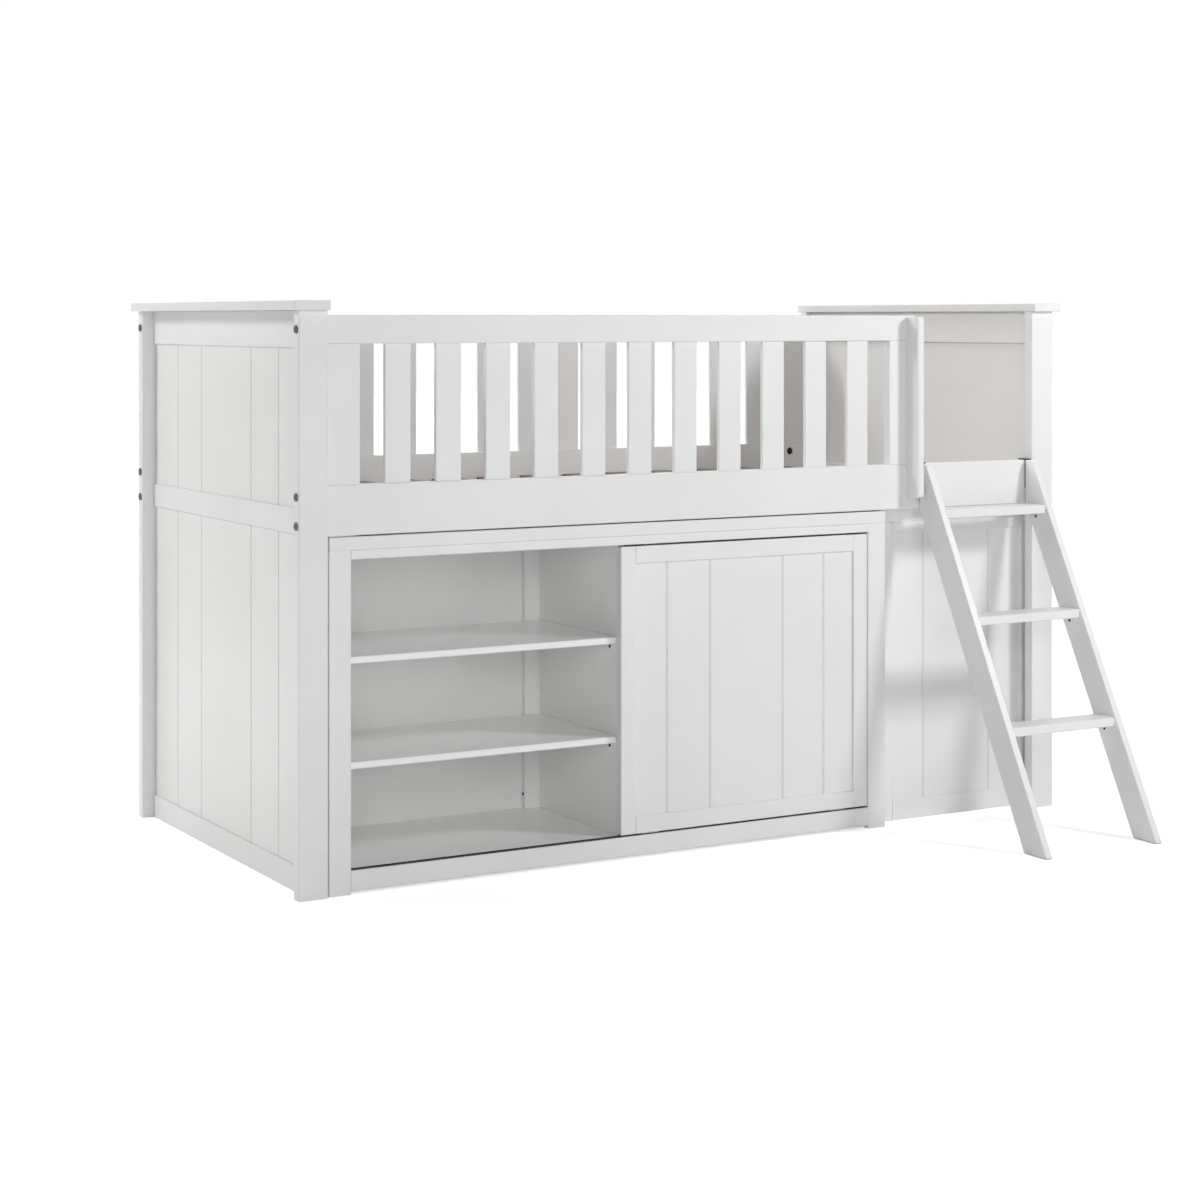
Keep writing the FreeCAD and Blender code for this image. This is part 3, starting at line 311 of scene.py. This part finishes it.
def lacquered_steel(name, coat, shade, bare, smooth):
    finish, tree, place = start_finish(name)
    skin = noise(tree, place, {"Scale": 900.0, "Detail": 2.0})
    drift = noise(tree, place, {"Scale": 60.0, "Detail": 3.0})
    rounded, edge = eased_edges(tree, LACQUER_EDGE)
    chipped = combine(tree, "MULTIPLY", edge, drift)
    colour = two_tones(tree, drift, (0.35, shade), (0.65, coat))
    colour = over(tree, chipped, colour, bare)
    gloss = spread(tree, skin, NOISE_BAND, (smooth, smooth + SKIN_SWING))
    normal = relief(tree, skin, rounded, strength=0.15, distance=0.0001)
    wire_shader(tree, colour, gloss, normal)
    return finish


white_lacquer = lacquered_steel(
    "white_lacquer",
    coat=(0.90, 0.90, 0.90),
    shade=(0.87, 0.87, 0.86),
    bare=(0.45, 0.44, 0.42),
    smooth=0.34,
)
finish_with(white_lacquer, "shelf_brackets")


# Bracket screws: small pan heads with a cross recess, one into the upright and one up into the shelf at each
# bracket. Blackened steel, so they show as dark dots on the white brackets.
SCREW_RADIUS = 0.0034
SCREW_RISE = 0.0018
DOME_SHARE = 0.45
RECESS_LENGTH_SHARE = 1.1
RECESS_WIDTH_SHARE = 0.28
MERGE_REACH = 0.000001
BRACKET_THICK = 0.002
BRACKET_WIDTH = 0.018
SCREW_FROM_BEND = 0.0088
FACING_RIGHT = (0, math.radians(90), 0)
FACING_LEFT = (0, math.radians(-90), 0)
FACING_DOWN = (math.radians(180), 0, 0)
# The screws' rims are lighter too: rubbed wear and a painted highlight.
blackened_steel = plated_steel(
    "blackened_screw_steel",
    bright=(0.060, 0.058, 0.056),
    dull=(0.030, 0.029, 0.028),
    rubbed_and_sheen=(0.120, 0.116, 0.110),
)


def pick_top(piece):
    bpy.ops.object.mode_set(mode="EDIT")
    bpy.ops.mesh.select_mode(type="FACE")
    bpy.ops.mesh.select_all(action="DESELECT")
    bpy.ops.object.mode_set(mode="OBJECT")
    for face in piece.data.polygons:
        face.select = face.normal.z > 0.9
    bpy.ops.object.mode_set(mode="EDIT")


def cut_recess(screw, turned):
    bpy.ops.object.select_all(action="DESELECT")
    bpy.ops.mesh.primitive_cube_add(size=1, location=(0, 0, SCREW_RISE), rotation=(0, 0, turned))
    cutter = bpy.context.object
    cutter.scale = (SCREW_RADIUS * RECESS_LENGTH_SHARE, SCREW_RADIUS * RECESS_WIDTH_SHARE, SCREW_RISE)
    bpy.context.view_layer.objects.active = screw
    recess = screw.modifiers.new("recess", "BOOLEAN")
    recess.operation = "DIFFERENCE"
    recess.object = cutter
    bpy.ops.object.modifier_apply(modifier="recess")
    bpy.data.objects.remove(cutter)


def model_screw(name):
    bpy.ops.object.select_all(action="DESELECT")
    middle = (0, 0, SCREW_RISE / 2)
    bpy.ops.mesh.primitive_cylinder_add(vertices=24, radius=SCREW_RADIUS, depth=SCREW_RISE, location=middle)
    screw = bpy.context.object
    screw.name = name
    bpy.ops.object.transform_apply(location=True, rotation=True, scale=True)
    pick_top(screw)
    bpy.ops.mesh.bevel(offset=SCREW_RISE * DOME_SHARE, segments=3, affect="EDGES")
    bpy.ops.object.mode_set(mode="OBJECT")
    cut_recess(screw, turned=0)
    cut_recess(screw, turned=math.radians(90))
    bpy.ops.object.select_all(action="DESELECT")
    screw.select_set(True)
    bpy.context.view_layer.objects.active = screw
    bpy.ops.object.mode_set(mode="EDIT")
    bpy.ops.mesh.select_all(action="SELECT")
    bpy.ops.mesh.remove_doubles(threshold=MERGE_REACH)
    bpy.ops.mesh.normals_make_consistent(inside=False)
    bpy.ops.object.mode_set(mode="OBJECT")
    bpy.ops.object.shade_smooth_by_angle(angle=math.radians(40))
    return screw


def drive_screw(pattern, name, spot, facing, body):
    driven = pattern.copy()
    driven.data = pattern.data.copy()
    driven.name = name
    bpy.context.scene.collection.objects.link(driven)
    driven.location = spot
    driven.rotation_euler = facing
    bpy.ops.object.select_all(action="DESELECT")
    driven.select_set(True)
    bpy.context.view_layer.objects.active = driven
    bpy.ops.object.transform_apply(location=True, rotation=True, scale=True)
    driven.data.materials.clear()
    driven.data.materials.append(blackened_steel)
    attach(driven, body)


bracket_screw = model_screw("bracket_screw")
brackets_low, brackets_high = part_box("shelf_brackets")
divider_low, divider_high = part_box("cabinet_divider")
left_bay = (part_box("cabinet_left_side")[1].x, divider_low.x)
right_bay = (divider_high.x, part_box("cabinet_right_side")[0].x)
count = 0
for shelves, (left, right) in (("left_shelves", left_bay), ("right_shelves", right_bay)):
    for below in (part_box(shelves)[0].z, brackets_high.z):
        for front in (brackets_low.y, brackets_high.y - BRACKET_WIDTH):
            middle = front + BRACKET_WIDTH / 2
            for wall, inward, facing in ((left, 1, FACING_RIGHT), (right, -1, FACING_LEFT)):
                count = count + 1
                upright_spot = (wall + inward * BRACKET_THICK, middle, below - SCREW_FROM_BEND)
                shelf_spot = (wall + inward * SCREW_FROM_BEND, middle, below - BRACKET_THICK)
                drive_screw(bracket_screw, f"shelf_upright_screw_{count}", upright_spot, facing, "bed_frame")
                drive_screw(bracket_screw, f"shelf_screw_{count}", shelf_spot, FACING_DOWN, "bed_frame")


# Batten screw: a screw of the same kind in the edge of the batten at the divider, low in the open bay.
# It shows as a dark dot near the floor of the bay.
BATTEN_WIDTH = 0.040
BATTEN_THICK = 0.015
BATTEN_SCREW_HEIGHT = 0.084
batten_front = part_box("back_battens")[0].y
batten_spot = (divider_low.x - BATTEN_WIDTH, batten_front + BATTEN_THICK / 2, BATTEN_SCREW_HEIGHT)
drive_screw(bracket_screw, "batten_screw", batten_spot, FACING_LEFT, "bed_frame")


# Door tracks: dark plastic channels let into the plinth and the head rail.
# Extruded, so fine lines run along them; where they are rubbed, patches and edges are painted a little
# lighter as sheen.
PLASTIC_EDGE = 0.0006


def moulded_plastic(name, along, colour, rubbed_and_sheen, sheen):
    finish, tree, place = start_finish(name)
    laid = drawn_out(tree, place, along, share=0.02)
    lines = noise(tree, laid, {"Scale": 800.0, "Detail": 3.0})
    drift = noise(tree, place, {"Scale": 25.0, "Detail": 3.0})
    rounded, edge = eased_edges(tree, PLASTIC_EDGE)
    # Patches and edges take the lighter colour: painted sheen, and on the rubber pads dusty bloom in the
    # patches.
    tone = two_tones(tree, drift, (0.35, colour), (0.68, rubbed_and_sheen))
    tone = over(tree, edge, tone, rubbed_and_sheen)
    gloss = spread(tree, lines, NOISE_BAND, sheen)
    normal = relief(tree, lines, rounded, strength=0.25, distance=0.0001)
    wire_shader(tree, tone, gloss, normal)
    return finish


track_plastic = moulded_plastic(
    "track_plastic",
    ALONG_BED,
    colour=(0.020, 0.019, 0.018),
    rubbed_and_sheen=(0.034, 0.032, 0.030),
    sheen=(0.35, 0.55),
)
finish_with(track_plastic, "lower_door_track", "upper_door_track")


# Access panel: a framed planked panel, set back beside the cabinet and hung from a cleat under the bed.
# Stiles and rails are grooved for the planked sheet; all of it has the same coat, and the sheet's V grooves
# are painted dark as shade.
finish_with(upright_paint, "access_stiles")
finish_with(lengthwise_paint, "access_rails", "access_cleat")
# Planked sheets: the V grooves are painted dark as shade.
plank_paint = painted_wood("plank_white_paint", UPRIGHT, WHITE_COAT, WHITE_SHADE, GROOVE_PAINTED_SHADE, GROOVE_COVER)
finish_with(plank_paint, "access_panel")


# Sliding door: a frame of two stiles and two rails around a planked sheet with V grooves.
# Painted as the face frame, each member with its grain along its length; the V grooves of the sheet are
# painted dark as shade.
finish_with(upright_paint, "door_stiles")
finish_with(plank_paint, "door_panel")
finish_with(lengthwise_paint, "door_rails")


# Door runners: plastic glides under the door and guides on top of it, which run in the two tracks.
# The glides are milky plastic, polished where they slide, with that sheen painted as lighter patches and
# edges; the guides are dark as the tracks.
runner_plastic = moulded_plastic(
    "runner_plastic",
    ALONG_BED,
    colour=(0.69, 0.69, 0.67),
    rubbed_and_sheen=(0.74, 0.74, 0.73),
    sheen=(0.28, 0.42),
)
finish_with(runner_plastic, "door_glides")
finish_with(track_plastic, "door_guides")


# Ladder: two leaning sides with three treads between them, all painted solid wood.
# The grain of the sides leans with them, and the treads are a little duller where feet step.
LADDER_LEAN = math.radians(27.1)
LEANING_GRAIN_LENGTH = 28.0
TREAD_COAT = (0.850, 0.850, 0.846)
TREAD_SHADE = (0.808, 0.807, 0.802)
ladder_paint = painted_wood("ladder_white_paint", UPRIGHT, WHITE_COAT, WHITE_SHADE, THIN_COAT_AND_EDGE_SHADE)
leaning = next(step for step in ladder_paint.node_tree.nodes if step.type == "MAPPING")
leaning.vector_type = "TEXTURE"
leaning.inputs["Scale"].default_value = (1.0, 1.0, LEANING_GRAIN_LENGTH)
leaning.inputs["Rotation"].default_value = (-LADDER_LEAN, 0, 0)
finish_with(ladder_paint, "ladder_left_stringer", "ladder_right_stringer")
tread_paint = painted_wood("tread_white_paint", ALONG_BED, TREAD_COAT, TREAD_SHADE, THIN_COAT_AND_EDGE_SHADE)
finish_with(tread_paint, "ladder_treads")


# Tread brackets: the same small white angles as under the shelves, screwed to the sides and under each tread.
# Their screws ride with the ladder.
TREAD_COUNT = 3
finish_with(white_lacquer, "tread_brackets")
left_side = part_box("ladder_left_stringer")[1].x
right_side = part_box("ladder_right_stringer")[0].x
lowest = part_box("ladder_treads")[0].z
steps_low, steps_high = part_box("tread_brackets")
tread_pitch = (steps_high.z - lowest) / (TREAD_COUNT - 1)
tread_retreat = (steps_high.y - BRACKET_WIDTH - steps_low.y) / (TREAD_COUNT - 1)
count = 0
for tread in range(TREAD_COUNT):
    below = lowest + tread * tread_pitch
    middle = steps_low.y + tread * tread_retreat + BRACKET_WIDTH / 2
    for wall, inward, facing in ((left_side, 1, FACING_RIGHT), (right_side, -1, FACING_LEFT)):
        count = count + 1
        side_spot = (wall + inward * BRACKET_THICK, middle, below - SCREW_FROM_BEND)
        tread_spot = (wall + inward * SCREW_FROM_BEND, middle, below - BRACKET_THICK)
        drive_screw(bracket_screw, f"ladder_side_screw_{count}", side_spot, facing, "ladder")
        drive_screw(bracket_screw, f"tread_screw_{count}", tread_spot, FACING_DOWN, "ladder")
bpy.data.objects.remove(bracket_screw)


# Ladder hooks: bent steel straps on the plumb backs of the sides, hooked over the side rail.
# Matt black lacquer, rubbed grey where they ride on the rail.
black_lacquer = lacquered_steel(
    "black_lacquer",
    coat=(0.016, 0.016, 0.017),
    shade=(0.010, 0.010, 0.011),
    bare=(0.09, 0.09, 0.09),
    smooth=0.45,
)
finish_with(black_lacquer, "ladder_hooks")


# Foot pads: thin rubber strips glued under the ladder's feet.
# Matt pale grey rubber with a dusty bloom in lighter patches, and a painted sheen along the edges.
rubber = moulded_plastic(
    "pad_rubber",
    ACROSS_BED,
    colour=(0.620, 0.618, 0.610),
    rubbed_and_sheen=(0.700, 0.698, 0.690),
    sheen=(0.70, 0.88),
)
finish_with(rubber, "ladder_foot_pads")


# Studio floor: a wide pale sheet under the bed that takes its shadow.
# Seen by the camera it runs into the white of the room without a horizon.
SHADE_REACH = (1.2, 3.2)
GLOW_BY_BED = 0.55
GLOW_AFAR = 1.0


def seen_directly(tree):
    ray = tree.nodes.new("ShaderNodeLightPath").outputs
    seen_or_mirrored = combine(tree, "MAXIMUM", ray["Is Camera Ray"], ray["Is Glossy Ray"])
    return combine(tree, "MAXIMUM", seen_or_mirrored, ray["Is Transmission Ray"])


bpy.ops.object.select_all(action="DESELECT")
bpy.ops.mesh.primitive_plane_add(size=60, location=(0, 0, 0))
floor = bpy.context.object
floor.name = "studio_floor"
floor_finish, floor_tree, floor_place = start_finish("studio_floor_white")
floor_shader = floor_tree.nodes["Principled BSDF"]
floor_shader.inputs["Base Color"].default_value = (0.92, 0.92, 0.92, 1)
floor_shader.inputs["Roughness"].default_value = 0.9
floor_shader.inputs["Specular IOR Level"].default_value = 0.1
floor_shader.inputs["Emission Color"].default_value = (1, 1, 1, 1)
away = floor_tree.nodes.new("ShaderNodeVectorMath")
away.operation = "LENGTH"
floor_tree.links.new(floor_place, away.inputs[0])
glow = floor_tree.nodes.new("ShaderNodeMapRange")
glow.interpolation_type = "SMOOTHSTEP"
glow.inputs["From Min"].default_value = SHADE_REACH[0]
glow.inputs["From Max"].default_value = SHADE_REACH[1]
glow.inputs["To Min"].default_value = GLOW_BY_BED
glow.inputs["To Max"].default_value = GLOW_AFAR
floor_tree.links.new(away.outputs["Value"], glow.inputs["Value"])
lift = combine(floor_tree, "MULTIPLY", seen_directly(floor_tree), glow.outputs["Result"])
floor_tree.links.new(lift, floor_shader.inputs["Emission Strength"])
floor.data.materials.append(floor_finish)


# Studio light: white walls all round, a soft box high at the front right that throws the shadows, broad fills
# from the front left, the front and the rear left, and one overhead. To the camera the walls are plain white.
WALL_LIGHT = 0.10
WALL_WHITE = 1.0
room = bpy.data.worlds.new("white_room")
bpy.context.scene.world = room
room.use_nodes = True
walls = room.node_tree.nodes["Background"]
walls.inputs["Color"].default_value = (1, 1, 1, 1)
wall_level = spread(room.node_tree, seen_directly(room.node_tree), (0.0, 1.0), (WALL_LIGHT, WALL_WHITE))
room.node_tree.links.new(wall_level, walls.inputs["Strength"])


def soft_box(name, spot, aim, width, power, colour):
    bpy.ops.object.select_all(action="DESELECT")
    bpy.ops.object.light_add(type="AREA", location=spot)
    lamp = bpy.context.object
    lamp.name = name
    lamp.data.shape = "SQUARE"
    lamp.data.size = width
    lamp.data.energy = power
    lamp.data.color = colour
    reach = [to - at for to, at in zip(aim, spot)]
    flat = math.hypot(reach[0], reach[1])
    lamp.rotation_euler = (math.atan2(flat, -reach[2]), 0, math.atan2(reach[0], -reach[1]) + math.pi)


soft_box(
    "key_light",
    spot=(1.875, -2.36, 2.22),
    aim=(0.3, -0.2, 0.6),
    width=0.5,
    power=42,
    colour=(0.97, 0.985, 1.0),
)
soft_box(
    "left_fill",
    spot=(-2.5, -4.8, 1.8),
    aim=(0.0, 0.0, 0.5),
    width=2.0,
    power=45,
    colour=(1.0, 1.0, 1.0),
)
soft_box(
    "front_fill",
    spot=(-0.8, -4.8, 1.6),
    aim=(-0.4, 0.0, 0.5),
    width=1.5,
    power=24,
    colour=(1.0, 1.0, 1.0),
)
soft_box(
    "rear_fill",
    spot=(-4.0, 2.3, 3.2),
    aim=(-0.9, 0.1, 0.7),
    width=1.2,
    power=98,
    colour=(1.0, 0.99, 0.98),
)
soft_box(
    "ceiling_light",
    spot=(0.1, 1.8, 4.2),
    aim=(0.0, 0.0, 0.5),
    width=2.5,
    power=98,
    colour=(1.0, 1.0, 1.0),
)


# Camera: at chest height off the left front corner, level, with the lens shifted down to the bed.
# The view is the photograph's.
eye = bpy.data.cameras.new("photo_camera")
eye.sensor_width = 36
eye.lens = 72.555
eye.shift_y = -0.23364
eye.clip_end = 200
camera = bpy.data.objects.new("photo_camera", eye)
bpy.context.scene.collection.objects.link(camera)
camera.location = (-2.9305, -4.9074, 1.2000)
camera.rotation_euler = (math.radians(90), 0, math.radians(-29.721))
bpy.context.scene.camera = camera
bpy.context.scene.view_settings.view_transform = "Standard"
